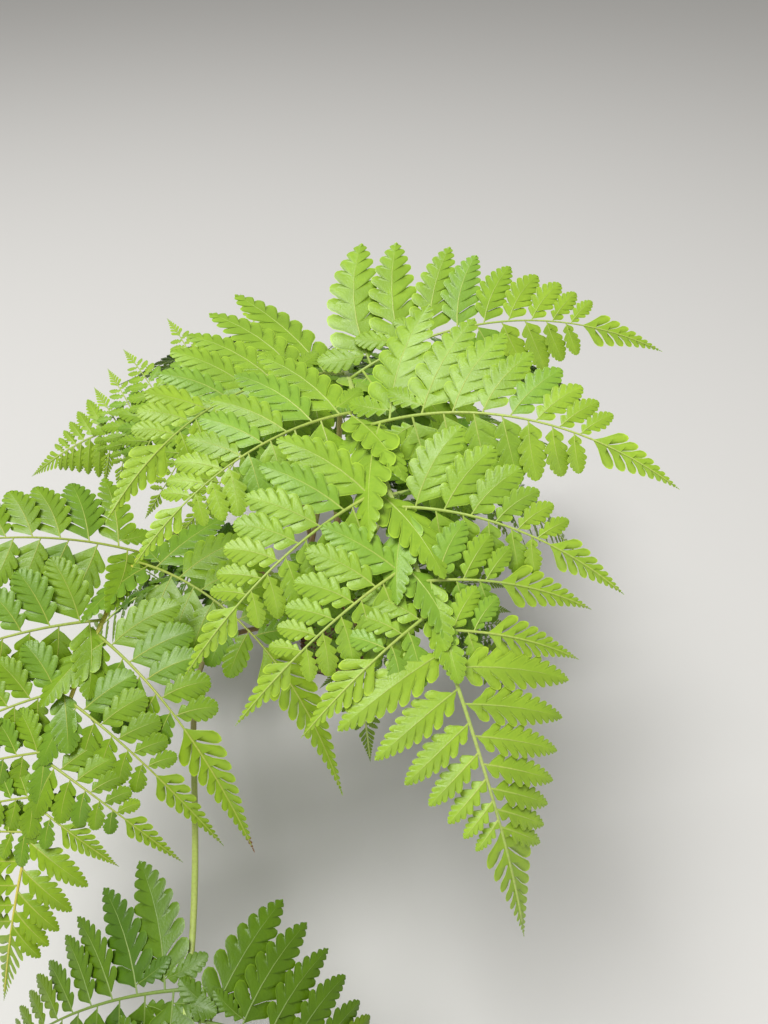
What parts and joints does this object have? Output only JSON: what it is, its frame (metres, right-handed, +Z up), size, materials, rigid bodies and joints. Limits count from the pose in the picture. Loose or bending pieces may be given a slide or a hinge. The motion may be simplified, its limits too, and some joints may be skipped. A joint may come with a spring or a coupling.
{
  "type": "davallia fern",
  "caption": "Rooted fern: a short crown stem at ground level with arching stalks, each ending in a broad triangular lacy frond blade cut to leaflets along side branches.",
  "frame": {"origin": "centre of the flat cut under the crown stem, at ground level", "axes": "+Z up, -Y towards the viewer who faces the plant's fullest side, +X to that viewer's right"},
  "size_m": [0.5505, 0.9683, 0.44],
  "materials": {
    "crown": "matte",
    "stalk": "satin",
    "leaf_bright": "satin",
    "leaf_mid": "satin",
    "leaf_deep": "satin"
  },
  "bodies": {
    "root": {"crown_stem": "crown", "main_stipe": "stalk", "main_blade": "leaf_bright", "front_left_stipe": "stalk", "front_left_blade": "leaf_mid", "front_low_stipe": "stalk", "front_low_blade": "leaf_mid", "left_stipe": "stalk", "left_blade": "leaf_bright", "back_left_stipe": "stalk", "back_left_blade": "leaf_deep", "back_stipe": "stalk", "back_blade": "leaf_deep", "back_right_stipe": "stalk", "back_right_blade": "leaf_deep", "right_stipe": "stalk", "right_blade": "leaf_deep", "inner_right_stipe": "stalk", "inner_right_blade": "leaf_deep", "inner_front_stipe": "stalk", "inner_front_blade": "leaf_deep", "inner_left_stipe": "stalk", "inner_left_blade": "leaf_deep", "inner_back_stipe": "stalk", "inner_back_blade": "leaf_deep"}
  },
  "joints": []
}
